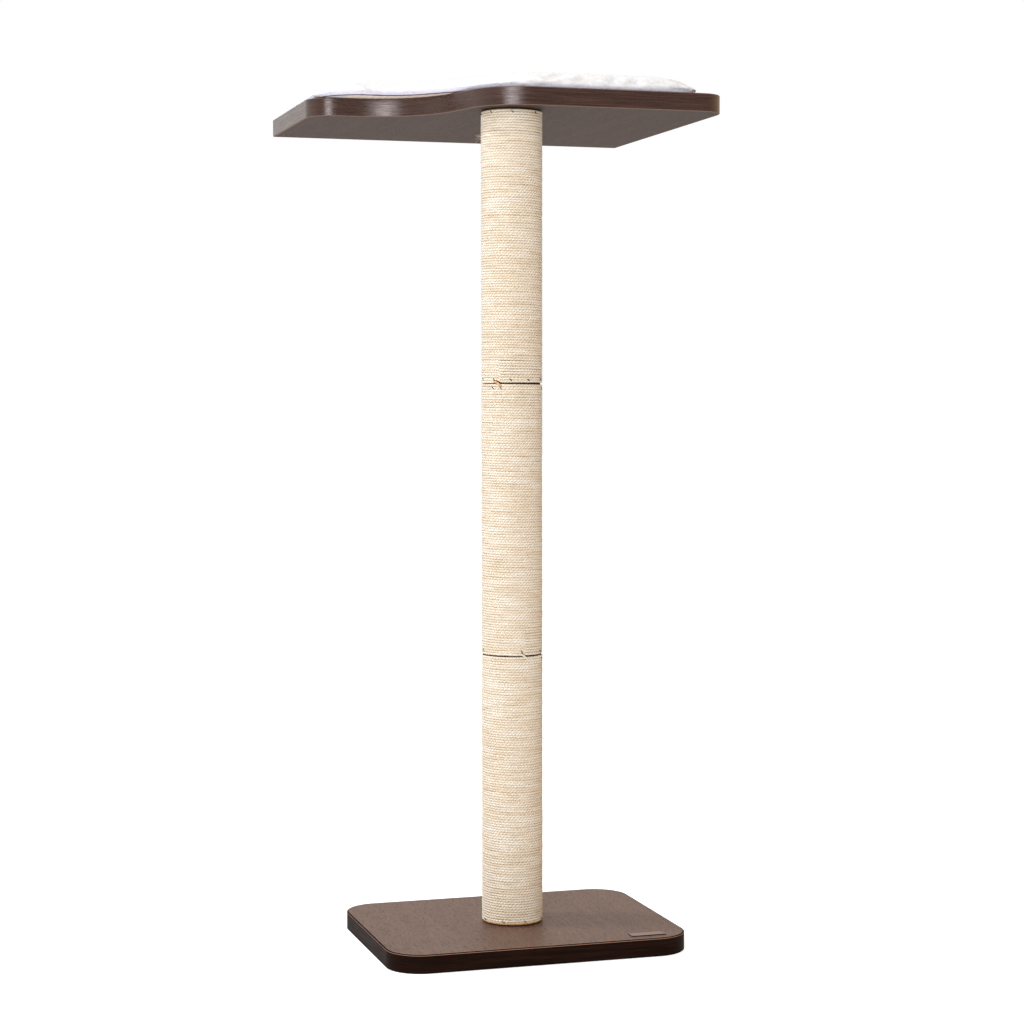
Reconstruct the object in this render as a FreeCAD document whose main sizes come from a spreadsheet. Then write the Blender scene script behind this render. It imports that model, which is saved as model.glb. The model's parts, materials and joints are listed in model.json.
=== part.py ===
import FreeCAD, Part
import math
import os
from types import SimpleNamespace

import Sketcher
from FreeCAD import Placement, Rotation, Vector

# A cat window perch: a wavy shelf with a plush cushion, on three sisal posts over a flat base.
# Millimetres and degrees. +Z is up, +Y points to the shelf's straight rear edge, the floor is Z = 0,
# and the origin lies below the middle of the overall footprint.
SIZES = {
    # Boards and the bands round their edges
    "board_thickness": 27.0,
    "band_thickness": 2.0,
    "band_edge_bevel": 1.0,
    "band_joint_gap": 0.4,
    # Base
    "base_width": 448.0,
    "base_depth": 346.0,
    "base_corner_radius": 52.0,
    "base_joint_left": 20.0,
    # Plate on the base
    "plate_length": 53.0,
    "plate_width": 21.0,
    "plate_thickness": 1.5,
    "plate_corner_radius": 2.0,
    "plate_right_gap": 37.0,
    "plate_front_gap": 17.5,
    # Shelf, measured from the posts' axis
    "shelf_left": 273.0,
    "shelf_right": 311.0,
    "shelf_back": 424.0,
    "shelf_front": 74.5,
    "shelf_left_front": 128.0,
    "shelf_left_radius": 40.0,
    "shelf_right_radius": 38.0,
    "shelf_left_flat": 27.0,
    "shelf_wave_angle": 72.0,
    "shelf_wave_inner_radius": 129.0,
    "shelf_wave_outer_radius": 81.0,
    "shelf_joint_right": 20.0,
    # Posts
    "post_length": 400.0,
    "tube_diameter": 84.0,
    "tube_wall": 5.0,
    "plug_thickness": 25.0,
    "fit_clearance": 0.1,
    # Sisal rope
    "rope_diameter": 3.2,
    "rope_pitch": 3.7,
    "rope_seat_gap": 0.2,
    "rope_end_gap": 0.8,
    "rope_end_turns": 2,
    # Fasteners
    "thread_diameter": 10.0,
    "thread_reach": 22.0,
    "insert_diameter": 16.0,
    "insert_length": 20.0,
    "washer_diameter": 24.0,
    "washer_thickness": 2.0,
    "bolt_head_width": 17.0,
    "bolt_head_height": 6.4,
    "bolt_hole_gap": 0.5,
    "head_recess": 2.0,
    "recess_gap": 1.0,
    # Cushion, measured from the posts' axis
    "cushion_left": 266.0,
    "cushion_right": 284.0,
    "cushion_back": 404.0,
    "cushion_front": 58.0,
    "cushion_left_front": 90.0,
    "cushion_left_radius": 70.0,
    "cushion_corner_radius": 42.0,
    "cushion_left_flat": 8.0,
    "cushion_wave_angle": 46.0,
    "cushion_wave_inner_radius": 88.0,
    "cushion_wave_outer_radius": 95.0,
    "cushion_side_height": 20.0,
    "cushion_draw_in": 7.0,
    "cushion_crown_height": 14.0,
    "cushion_crown_inset": 80.0,
    "cushion_fabric": 2.0,
    "cushion_foam_thickness": 5.0,
    "cushion_rest_gap": 0.3,
}

POSTS = ("lower", "middle", "upper")
ROPE_SIDES = 5
# Shares of the cushion's side height, with the share of its draw-in there
SIDE_LEVELS = ((0, 1), (0.5, 0), (1, 1))
CROWN_STEPS = 2
UP = Vector(0, 0, 1)
NEAR = 1e-6
GAP_LIMIT = 0.4


class Size:
    """A number together with the sheet expression that drives it."""

    def __init__(self, value, text):
        self.value = value
        self.text = text

    def __add__(self, other):
        other = as_size(other)
        return Size(self.value + other.value, f"({self.text} + {other.text})")

    def __sub__(self, other):
        other = as_size(other)
        return Size(self.value - other.value, f"({self.text} - {other.text})")

    def __mul__(self, other):
        other = as_size(other)
        return Size(self.value * other.value, f"({self.text} * {other.text})")

    def __truediv__(self, other):
        other = as_size(other)
        return Size(self.value / other.value, f"({self.text} / {other.text})")


def as_size(item):
    return item if isinstance(item, Size) else Size(float(item), str(float(item)))


doc = FreeCAD.newDocument("cat_window_perch")
sheet = doc.addObject("Spreadsheet::Sheet", "sizes")
for row, (alias, number) in enumerate(SIZES.items(), start=1):
    sheet.set(f"A{row}", alias)
    sheet.set(f"B{row}", str(number))
    sheet.setAlias(f"B{row}", alias)
doc.recompute()
s = SimpleNamespace(**{alias: Size(float(sheet.get(alias)), f"sizes.{alias}") for alias in SIZES})

# The posts' axis, from the middle of the overall footprint
axis_x = (s.shelf_left - s.shelf_right) / 2
axis_y = (s.base_depth / 2 - s.shelf_back) / 2
zero = as_size(0)
floor = zero
base_top = s.board_thickness
shelf_bottom = base_top + s.post_length * len(POSTS)
shelf_top = shelf_bottom + s.board_thickness
post_bottom = {name: base_top + s.post_length * index for index, name in enumerate(POSTS)}

tube_bore = s.tube_diameter - s.tube_wall * 2
rope_height = s.rope_seat_gap + s.rope_diameter
winding_diameter = s.tube_diameter + rope_height * 2
end_zone = s.rope_end_gap + s.rope_end_turns * s.rope_pitch + s.rope_pitch
recess_depth = s.head_recess + s.bolt_head_height + s.washer_thickness
recess_diameter = s.washer_diameter + s.recess_gap * 2
bolt_hole = s.thread_diameter + s.bolt_hole_gap * 2
bolt_length = s.washer_thickness + s.board_thickness - recess_depth + s.thread_reach


# Document helpers


def bind(item, path, size):
    item.setExpression(path, size.text)


def place(item, x, y, z, turned=False):
    """Puts an object at its place from the sheet, upside down where it is turned."""
    if turned:
        item.Placement = Placement(Vector(), Rotation(Vector(1, 0, 0), 180))
    bind(item, "Placement.Base.x", x)
    bind(item, "Placement.Base.y", y)
    bind(item, "Placement.Base.z", z)


def new_body(label, z):
    body = doc.addObject("PartDesign::Body", label)
    body.Label = label
    place(body, axis_x, axis_y, z)
    return body


def sketch_on(body, name, height=None):
    """A sketch on the body's own XY plane, raised by a height where one is given."""
    plane = next(item for item in body.Origin.OriginFeatures if item.Role == "XY_Plane")
    sketch = body.newObject("Sketcher::SketchObject", f"{body.Name}_{name}")
    sketch.AttachmentSupport = [(plane, "")]
    sketch.MapMode = "FlatFace"
    if height is not None:
        bind(sketch, "AttachmentOffset.Base.z", height)
    return sketch


def dimension(sketch, kind, places, size):
    """A driven constraint: its datum follows the sheet."""
    index = sketch.addConstraint(Sketcher.Constraint(kind, *places, size.value))
    bind(sketch, f"Constraints[{index}]", size)


def angle_dimension(sketch, line, size):
    """The slope of a line, down from +X, in degrees on the sheet."""
    index = sketch.addConstraint(Sketcher.Constraint("Angle", line, -math.radians(size.value)))
    sketch.setExpression(f"Constraints[{index}]", f"-{size.text} * 1 deg")


def pad(body, sketch, length):
    feature = body.newObject("PartDesign::Pad", f"{sketch.Name}_pad")
    feature.Profile = sketch
    bind(feature, "Length", length)
    doc.recompute()
    return feature


def pocket(body, sketch, depth=None, upwards=True):
    """A cut from the sketch up or down into the solid, right through where no depth is given."""
    before = body.Shape.Volume
    feature = body.newObject("PartDesign::Pocket", f"{sketch.Name}_pocket")
    feature.Profile = sketch
    feature.Reversed = upwards
    if depth is None:
        feature.Type = "ThroughAll"
    else:
        bind(feature, "Length", depth)
    doc.recompute()
    if feature.Shape.Volume > before - NEAR:
        raise RuntimeError(f"{feature.Name} cuts nothing")
    return feature


def circle(sketch, diameter):
    index = sketch.addGeometry(Part.Circle(Vector(), UP, diameter.value / 2), False)
    sketch.addConstraint(Sketcher.Constraint("Coincident", index, 3, -1, 1))
    dimension(sketch, "Diameter", (index,), diameter)


def chain(sketch, corners):
    """A closed counter-clockwise chain of lines, with an arc at each corner that has a radius.

    Gives the lines, the one that leaves each corner, and the arcs, as geometry numbers.
    """
    count = len(corners)
    points = [Vector(x, y, 0) for x, y, radius in corners]
    starts, ends, arcs = [], [], []
    for index, (x, y, radius) in enumerate(corners):
        arrive = (points[index] - points[index - 1]).normalize()
        leave = (points[(index + 1) % count] - points[index]).normalize()
        turn = math.atan2(arrive.cross(leave).z, arrive.dot(leave))
        reach = radius * math.tan(abs(turn) / 2)
        ends.append(points[index] - arrive * reach)
        starts.append(points[index] + leave * reach)
        if radius == 0:
            arcs.append(None)
            continue
        side = math.copysign(1, turn)
        centre = ends[-1] + UP.cross(arrive) * side * radius
        first = ends[-1] if side > 0 else starts[-1]
        angle = math.atan2(first.y - centre.y, first.x - centre.x)
        arc = Part.ArcOfCircle(Part.Circle(centre, UP, radius), angle, angle + abs(turn))
        arcs.append((sketch.addGeometry(arc, False), 1 if side > 0 else 2))
    lines = []
    for index in range(count):
        segment = Part.LineSegment(starts[index], ends[(index + 1) % count])
        lines.append(sketch.addGeometry(segment, False))
    joints = []
    for index, arc in enumerate(arcs):
        before, after = lines[index - 1], lines[index]
        if arc is None:
            joints.append(Sketcher.Constraint("Coincident", before, 2, after, 1))
        else:
            number, first = arc
            joints.append(Sketcher.Constraint("Tangent", before, 2, number, first))
            joints.append(Sketcher.Constraint("Tangent", number, 3 - first, after, 1))
    sketch.addConstraint(joints)
    return lines, [arc and arc[0] for arc in arcs]


def rectangle(sketch, left, right, front, back, radius=None):
    """A rectangle by its distances from the sketch's axes, with rounded corners where given.

    Left and front lie on the negative sides, right and back on the positive ones.
    """
    bend = radius.value if radius else 0
    x_low, x_high, y_low, y_high = -left.value, right.value, -front.value, back.value
    corners = [(x_low, y_low, bend), (x_high, y_low, bend), (x_high, y_high, bend), (x_low, y_high, bend)]
    (bottom, east, top, west), arcs = chain(sketch, corners)
    for line, kind in ((bottom, "Horizontal"), (top, "Horizontal"), (east, "Vertical"), (west, "Vertical")):
        sketch.addConstraint(Sketcher.Constraint(kind, line))
    dimension(sketch, "DistanceY", (bottom, 1, -1, 1), front)
    dimension(sketch, "DistanceX", (-1, 1, east, 1), right)
    dimension(sketch, "DistanceY", (-1, 1, top, 1), back)
    dimension(sketch, "DistanceX", (west, 1, -1, 1), left)
    if radius:
        for arc in arcs:
            dimension(sketch, "Radius", (arc,), radius)


class WavyOutline:
    """The plan of the shelf or the cushion: a deep right side, a shallow left side and a wave between."""

    def __init__(self, left, right, back, front, left_front, wave, radii):
        self.left = left
        self.right = right
        self.back = back
        self.front = front
        self.left_front = left_front
        self.start, self.angle, self.inner, self.outer = wave
        self.left_radius, self.right_radius, self.back_radius = radii

    def edges_in(self, inset, start):
        wave = (start, self.angle, self.inner, self.outer)
        radii = (self.left_radius, self.right_radius, self.back_radius)
        return WavyOutline(self.left - inset, self.right - inset, self.back - inset, self.front - inset,
                           self.left_front + inset, wave, radii)

    def parallel(self, inset):
        """The outline at an even distance inside this one."""
        inside = self.edges_in(inset, self.start)
        inside.inner = self.inner + inset
        inside.outer = self.outer - inset
        inside.left_radius = self.left_radius - inset
        inside.right_radius = self.right_radius - inset
        return inside

    def drawn_in(self, inset):
        """A smaller outline with the same roundings, as cloth draws in."""
        return self.edges_in(inset, self.start - inset)

    def draw(self, sketch):
        slope = math.radians(self.angle.value)
        bend = self.back_radius.value if self.back_radius else 0
        inner_x = -self.start.value + self.inner.value * math.tan(slope / 2)
        drop = self.left_front.value + self.front.value
        outer_x = inner_x + drop / math.tan(slope)
        corners = [
            (-self.left.value, self.back.value, bend),
            (-self.left.value, self.left_front.value, self.left_radius.value),
            (inner_x, self.left_front.value, self.inner.value),
            (outer_x, -self.front.value, self.outer.value),
            (self.right.value, -self.front.value, self.right_radius.value),
            (self.right.value, self.back.value, bend),
        ]
        (west, shallow, slant, bottom, east, top), arcs = chain(sketch, corners)
        for line in (shallow, bottom, top):
            sketch.addConstraint(Sketcher.Constraint("Horizontal", line))
        for line in (west, east):
            sketch.addConstraint(Sketcher.Constraint("Vertical", line))
        dimension(sketch, "DistanceX", (west, 1, -1, 1), self.left)
        dimension(sketch, "DistanceY", (-1, 1, shallow, 1), self.left_front)
        dimension(sketch, "DistanceX", (shallow, 2, -1, 1), self.start)
        dimension(sketch, "DistanceY", (bottom, 1, -1, 1), self.front)
        dimension(sketch, "DistanceX", (-1, 1, east, 1), self.right)
        dimension(sketch, "DistanceY", (-1, 1, top, 1), self.back)
        angle_dimension(sketch, slant, self.angle)
        sizes = (self.back_radius, self.left_radius, self.inner, self.outer, self.right_radius,
                 self.back_radius)
        for arc, size in zip(arcs, sizes):
            if size:
                dimension(sketch, "Radius", (arc,), size)


def rim_edges(shape, height):
    """The names of the outer edges of a solid's flat face at a height."""
    face = next(item for item in shape.Faces
                if abs(item.BoundBox.ZMin - height) < NEAR and abs(item.BoundBox.ZMax - height) < NEAR)
    rim = face.OuterWire.Edges
    return [f"Edge{number}" for number, edge in enumerate(shape.Edges, start=1)
            if any(edge.isSame(other) for other in rim)]


def ring(body, name, outer, inner, length):
    sketch = sketch_on(body, name)
    circle(sketch, outer)
    circle(sketch, inner)
    pad(body, sketch, length)


def edge_band(label, z, draw_outer, draw_inner, joint):
    """A strip round a board's edge, with bevelled outer edges and one butt joint where its ends meet."""
    body = new_body(label, z)
    sketch = sketch_on(body, "outline")
    draw_outer(sketch)
    draw_inner(sketch)
    strip = pad(body, sketch, s.board_thickness)
    bevel = body.newObject("PartDesign::Chamfer", f"{label}_bevel")
    rims = rim_edges(strip.Shape, 0) + rim_edges(strip.Shape, s.board_thickness.value)
    bevel.Base = (strip, rims)
    bind(bevel, "Size", s.band_edge_bevel)
    doc.recompute()
    slit = sketch_on(body, "joint")
    rectangle(slit, *joint)
    pocket(body, slit)
    return body


def group(label, members):
    """Equal small pieces in one node."""
    compound = doc.addObject("Part::Compound", label)
    compound.Label = label
    compound.Links = members
    return compound


# Base: a laminated board on the floor, recessed below for the clamping bolt, with its edge band


def draw_base(sketch, inset):
    half_width = s.base_width / 2 - inset
    half_depth = s.base_depth / 2 - inset
    rectangle(sketch, half_width, half_width, half_depth, half_depth, s.base_corner_radius - inset)


def make_base():
    board = new_body("base_board", floor)
    sketch = sketch_on(board, "outline")
    draw_base(sketch, s.band_thickness)
    pad(board, sketch, s.board_thickness)
    recess = sketch_on(board, "recess")
    circle(recess, recess_diameter)
    pocket(board, recess, recess_depth)
    hole = sketch_on(board, "hole")
    circle(hole, bolt_hole)
    pocket(board, hole)
    half_depth = s.base_depth / 2
    joint = (s.base_joint_left + s.band_joint_gap, zero - s.base_joint_left,
             half_depth + s.band_thickness, s.band_thickness * 2 - half_depth)
    band = edge_band("base_edge_band", floor, lambda item: draw_base(item, zero),
                     lambda item: draw_base(item, s.band_thickness), joint)
    return [board, band]


# Plate: a small bare plate glued on the base, near its front right corner


def make_plate():
    plate = doc.addObject("PartDesign::Body", "base_plate")
    plate.Label = "base_plate"
    x = axis_x + s.base_width / 2 - s.plate_right_gap - s.plate_length / 2
    y = axis_y - s.base_depth / 2 + s.plate_front_gap + s.plate_width / 2
    place(plate, x, y, base_top)
    sketch = sketch_on(plate, "outline")
    rectangle(sketch, s.plate_length / 2, s.plate_length / 2, s.plate_width / 2, s.plate_width / 2,
              s.plate_corner_radius)
    pad(plate, sketch, s.plate_thickness)
    return [plate]


# Posts: cardboard tubes with a wooden plug in each end, stacked on one axis


def make_posts():
    pieces = []
    for name in POSTS:
        bottom = post_bottom[name]
        tube = new_body(f"post_tube_{name}", bottom)
        ring(tube, "wall", s.tube_diameter, tube_bore, s.post_length)
        plugs = []
        for end, z in (("bottom", bottom), ("top", bottom + s.post_length - s.plug_thickness)):
            plug = new_body(f"end_plug_{name}_{end}", z)
            ring(plug, "disc", tube_bore - s.fit_clearance * 2,
                 s.insert_diameter + s.fit_clearance * 2, s.plug_thickness)
            plugs.append(plug)
        pieces += [tube, group(f"end_plugs_{name}", plugs)]
    return pieces


# Fasteners: a threaded insert in each plug, studs between the posts, and a bolt with a washer at each board


def make_insert(name, z):
    body = new_body(name, z)
    ring(body, "sleeve", s.insert_diameter, s.thread_diameter + s.fit_clearance * 2, s.insert_length)
    return body


def make_bolt(name, z, turned):
    head = doc.addObject("Part::Prism", f"{name}_head")
    head.Polygon = 6
    head.setExpression("Circumradius", f"{s.bolt_head_width.text} / (2 * cos(30 deg))")
    bind(head, "Height", s.bolt_head_height)
    shank = doc.addObject("Part::Cylinder", f"{name}_shank")
    bind(shank, "Radius", s.thread_diameter / 2)
    bind(shank, "Height", s.bolt_head_height + bolt_length)
    bolt = doc.addObject("Part::Fuse", name)
    bolt.Base = head
    bolt.Tool = shank
    place(bolt, axis_x, axis_y, z, turned)
    return bolt


def make_washer(name, z):
    body = new_body(name, z)
    ring(body, "disc", s.washer_diameter, bolt_hole, s.washer_thickness)
    return body


def make_stud(name, z):
    stud = doc.addObject("Part::Cylinder", name)
    bind(stud, "Radius", s.thread_diameter / 2)
    bind(stud, "Height", s.thread_reach * 2)
    place(stud, axis_x, axis_y, z)
    return stud


def make_fasteners():
    inserts, studs = [], []
    for name in POSTS:
        bottom = post_bottom[name]
        inserts.append(make_insert(f"insert_{name}_bottom", bottom))
        inserts.append(make_insert(f"insert_{name}_top", bottom + s.post_length - s.insert_length))
    for name in POSTS[1:]:
        studs.append(make_stud(f"stud_{name}", post_bottom[name] - s.thread_reach))
    bolts = [make_bolt("bolt_base", s.head_recess, False),
             make_bolt("bolt_shelf", shelf_top - s.head_recess, True)]
    head_face = s.head_recess + s.bolt_head_height
    washers = [make_washer("washer_base", head_face),
               make_washer("washer_shelf", shelf_top - head_face - s.washer_thickness)]
    return [group("threaded_inserts", inserts), group("joining_studs", studs),
            group("clamp_bolts", bolts), group("clamp_washers", washers)]


# Sisal: one rope closely wound on each tube, as an even layer between its open end turns


def biarc(start, start_way, end, end_way):
    """Two arcs that meet smoothly, from a point and direction to another."""
    span = end - start
    ways = start_way + end_way
    bend = 2 * (1 - start_way.dot(end_way))
    across = 2 * span.dot(ways)
    reach = (math.sqrt(across * across + 4 * bend * span.dot(span)) - across) / (2 * bend)
    middle = (start + start_way * reach + end - end_way * reach) / 2
    middle_way = end - end_way * reach - middle
    return [tangent_arc(start, start_way, middle), tangent_arc(middle, middle_way, end)]


def tangent_arc(start, way, end):
    """The arc that leaves a point in a direction and ends at another point."""
    chord = end - start
    way = Vector(way).normalize()
    lift = chord - way * chord.dot(way)
    turn = math.atan2(lift.Length, chord.dot(way))
    radius = chord.Length / (2 * math.sin(turn))
    inward = lift.normalize()
    centre = start + inward * radius
    middle = centre + way * radius * math.sin(turn) - inward * radius * math.cos(turn)
    return Part.Arc(start, middle, end).toShape()


def make_turns():
    """The open turns at one end of a winding, as one unbroken tube on half-turn biarcs."""
    radius = s.tube_diameter.value / 2 + s.rope_seat_gap.value + s.rope_diameter.value / 2
    rise = s.rope_pitch.value / (2 * math.pi)
    turns = int(s.rope_end_turns.value)

    def point(angle):
        return Vector(radius * math.cos(angle), radius * math.sin(angle), rise * angle)

    def way(angle):
        return Vector(-radius * math.sin(angle), radius * math.cos(angle), rise).normalize()

    halves = [math.pi * index for index in range(2 * turns + 1)]
    lead = s.rope_diameter.value
    first, last = halves[0], halves[-1]
    tail = point(first) - way(first) * lead
    edges = [Part.LineSegment(tail, point(first)).toShape()]
    for low, high in zip(halves, halves[1:]):
        edges += biarc(point(low), way(low), point(high), way(high))
    edges.append(Part.LineSegment(point(last), point(last) + way(last) * lead).toShape())
    path = Part.Wire(edges)
    out = Vector(math.cos(first), math.sin(first), 0)
    side = way(first).cross(out)
    rim = []
    for index in range(ROPE_SIDES + 1):
        angle = 2 * math.pi * index / ROPE_SIDES
        rim.append(tail + (out * math.cos(angle) + side * math.sin(angle)) * s.rope_diameter.value / 2)
    turns_tube = path.makePipeShell([Part.makePolygon(rim)], True, False)
    samples = [vertex.Point for vertex in path.Vertexes]
    samples += [edge.valueAt((edge.FirstParameter + edge.LastParameter) / 2) for edge in path.Edges]
    apart = [(a - b).Length for i, a in enumerate(samples) for b in samples[i + 1:]
             if abs(a.z - b.z) > s.rope_pitch.value / 2]
    gap = min(apart) - s.rope_diameter.value
    section = ROPE_SIDES / 2 * (s.rope_diameter.value / 2) ** 2 * math.sin(2 * math.pi / ROPE_SIDES)
    print(f"rope end turns: length {path.Length:.1f} mm, least gap {gap:.2f} mm, "
          f"volume {turns_tube.Volume / (section * path.Length):.4f} of section times length")
    if gap < GAP_LIMIT:
        raise RuntimeError("the rope's end turns touch")
    return turns_tube


def make_windings():
    pieces, coils = [], []
    turns = make_turns()
    half = s.rope_end_gap + s.rope_diameter / 2
    coil_height = s.rope_end_turns * s.rope_pitch
    for name in POSTS:
        bottom = post_bottom[name]
        layer = new_body(f"sisal_winding_{name}", bottom + end_zone)
        ring(layer, "layer", winding_diameter, s.tube_diameter, s.post_length - end_zone * 2)
        pieces.append(layer)
        for end, z in (("bottom", bottom + half), ("top", bottom + s.post_length - half - coil_height)):
            coil = doc.addObject("Part::Feature", f"end_turns_{name}_{end}")
            coil.Shape = turns.copy()
            place(coil, axis_x, axis_y, z)
            coils.append(coil)
    return pieces + [group("sisal_end_turns", coils)]


# Shelf: the wavy board on the top post, recessed above for its bolt, with its edge band


def make_shelf():
    start = s.shelf_left - s.shelf_left_radius - s.shelf_left_flat
    wave = (start, s.shelf_wave_angle, s.shelf_wave_inner_radius, s.shelf_wave_outer_radius)
    outline = WavyOutline(s.shelf_left, s.shelf_right, s.shelf_back, s.shelf_front, s.shelf_left_front,
                          wave, (s.shelf_left_radius, s.shelf_right_radius, None))
    core = outline.parallel(s.band_thickness)
    board = new_body("shelf_board", shelf_bottom)
    sketch = sketch_on(board, "outline")
    core.draw(sketch)
    pad(board, sketch, s.board_thickness)
    recess = sketch_on(board, "recess", s.board_thickness)
    circle(recess, recess_diameter)
    pocket(board, recess, recess_depth, upwards=False)
    hole = sketch_on(board, "hole")
    circle(hole, bolt_hole)
    pocket(board, hole)
    joint = (s.band_joint_gap - s.shelf_joint_right, s.shelf_joint_right,
             s.band_thickness * 2 - s.shelf_back, s.shelf_back + s.band_thickness)
    band = edge_band("shelf_edge_band", shelf_bottom, outline.draw, core.draw, joint)
    return [board, band]


# Cushion: a plush cover with a crown, drawn in at its seams, over a foam sheet and room for wadding


def cover_sections():
    """The heights and insets of the cover: a swelling side between two seams, then the crown."""
    sections = []
    for height, drawn in SIDE_LEVELS:
        sections.append((s.cushion_side_height * height, s.cushion_draw_in * drawn))
    for step in range(1, CROWN_STEPS + 1):
        share = step / CROWN_STEPS
        rise = s.cushion_crown_height * math.sin(math.pi / 2 * share)
        inset = s.cushion_draw_in + (s.cushion_crown_inset - s.cushion_draw_in) * share
        sections.append((s.cushion_side_height + rise, inset))
    return sections


def make_cushion():
    start = s.cushion_left - s.cushion_left_radius - s.cushion_left_flat
    wave = (start, s.cushion_wave_angle, s.cushion_wave_inner_radius, s.cushion_wave_outer_radius)
    radii = (s.cushion_left_radius, s.cushion_corner_radius, s.cushion_corner_radius)
    outline = WavyOutline(s.cushion_left, s.cushion_right, s.cushion_back, s.cushion_front,
                          s.cushion_left_front, wave, radii)
    z = shelf_top + s.cushion_rest_gap
    cover = new_body("cushion_cover", z)
    sketches = []
    for number, (height, inset) in enumerate(cover_sections()):
        sketch = sketch_on(cover, f"section_{number}", height)
        outline.drawn_in(inset).draw(sketch)
        sketches.append(sketch)
    doc.recompute()
    swell = cover.newObject("PartDesign::AdditiveLoft", "cushion_swell")
    swell.Profile = sketches[0]
    swell.Sections = sketches[1:]
    swell.Ruled = True
    doc.recompute()
    foam_outline = outline.drawn_in(s.cushion_draw_in + s.cushion_fabric)
    side_room = s.cushion_side_height - s.cushion_fabric * 2
    crown, crown_inset = cover_sections()[len(SIDE_LEVELS)]
    for name, plan, height in (("room", foam_outline, side_room),
                               ("crown_room", outline.drawn_in(crown_inset), crown - s.cushion_fabric * 2)):
        sketch = sketch_on(cover, name, s.cushion_fabric)
        plan.draw(sketch)
        pocket(cover, sketch, height)
    foam = new_body("cushion_foam", z + s.cushion_fabric)
    sketch = sketch_on(foam, "outline")
    foam_outline.draw(sketch)
    pad(foam, sketch, s.cushion_foam_thickness)
    return [cover, foam]


nodes = make_base() + make_plate() + make_posts() + make_fasteners() + make_windings()
nodes += make_shelf() + make_cushion()
doc.recompute()

for item in doc.Objects:
    if "Invalid" in item.State or "Error" in item.State:
        raise RuntimeError(f"{item.Label} failed: {item.State}")
for node in nodes:
    if node.Shape.isNull() or not node.Shape.isValid():
        raise RuntimeError(f"{node.Label} has no valid shape")

os.makedirs("parts", exist_ok=True)
for node in nodes:
    node.Shape.exportStep(f"parts/{node.Label}.step")
    box = node.Shape.BoundBox
    print(f"{node.Label}: {len(node.Shape.Solids)} solids, {node.Shape.Volume / 1000:.1f} cm3, "
          f"X {box.XMin:.1f} to {box.XMax:.1f}, Y {box.YMin:.1f} to {box.YMax:.1f}, "
          f"Z {box.ZMin:.1f} to {box.ZMax:.1f}")
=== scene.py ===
import json
import math
import random

import bpy
from mathutils import Matrix, Vector, noise

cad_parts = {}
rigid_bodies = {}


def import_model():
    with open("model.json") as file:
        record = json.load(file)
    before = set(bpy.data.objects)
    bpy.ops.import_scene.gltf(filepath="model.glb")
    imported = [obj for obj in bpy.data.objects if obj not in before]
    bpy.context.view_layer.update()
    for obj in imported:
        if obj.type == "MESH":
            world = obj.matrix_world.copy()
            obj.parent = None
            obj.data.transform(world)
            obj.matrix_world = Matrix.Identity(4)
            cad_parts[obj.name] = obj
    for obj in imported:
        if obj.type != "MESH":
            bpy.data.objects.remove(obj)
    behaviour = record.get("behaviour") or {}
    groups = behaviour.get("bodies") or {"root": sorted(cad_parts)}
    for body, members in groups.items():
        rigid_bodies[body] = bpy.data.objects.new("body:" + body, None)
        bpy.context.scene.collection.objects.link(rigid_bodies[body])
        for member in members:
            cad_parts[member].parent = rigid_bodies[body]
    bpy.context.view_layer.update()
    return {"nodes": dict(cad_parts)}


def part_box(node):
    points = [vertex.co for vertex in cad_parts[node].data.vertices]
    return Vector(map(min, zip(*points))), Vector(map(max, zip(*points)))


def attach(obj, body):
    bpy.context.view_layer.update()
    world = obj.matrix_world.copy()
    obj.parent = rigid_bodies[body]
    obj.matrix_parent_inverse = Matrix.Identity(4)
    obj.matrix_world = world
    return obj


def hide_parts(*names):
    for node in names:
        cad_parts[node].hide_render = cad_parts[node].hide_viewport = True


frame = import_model()

# Base board: particle board pressed with a dark wenge decor foil on both faces. It lies flat on
# the floor and carries the post. The foil's grain runs from front to back in fine streaks with
# short pores, under a satin lacquer that mirrors its surroundings softly.


def linear(colour):
    """An sRGB hex colour as the linear values that a shader takes."""
    parts = [int(colour[place:place + 2], 16) / 255 for place in (1, 3, 5)]
    return [part / 12.92 if part <= 0.04045 else ((part + 0.055) / 1.055) ** 2.4 for part in parts] + [1.0]


def add_node(tree, kind, values=(), links=(), ramp=(), **settings):
    """One shader node with its settings, socket values, links and colour stops."""
    node = tree.nodes.new("ShaderNode" + kind)
    for name, value in settings.items():
        setattr(node, name, value)
    for socket, value in dict(values).items():
        node.inputs[socket].default_value = value
    for socket, source in dict(links).items():
        tree.links.new(source, node.inputs[socket])
    for number, (place, colour) in enumerate(ramp):
        stops = node.color_ramp.elements
        stop = stops[number] if number < 2 else stops.new(place)
        stop.position = place
        stop.color = linear(colour)
    return node


def new_material(name, values):
    """A material with its constants set on the shader's own sockets."""
    material = bpy.data.materials.new(name)
    material.use_nodes = True
    shader = material.node_tree.nodes["Principled BSDF"]
    for socket, value in values.items():
        shader.inputs[socket].default_value = value
    return material, material.node_tree, shader


def dress(node, material):
    """Gives a solid of the frame its finish."""
    for place in frame["nodes"][node].material_slots:
        place.material = material


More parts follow.
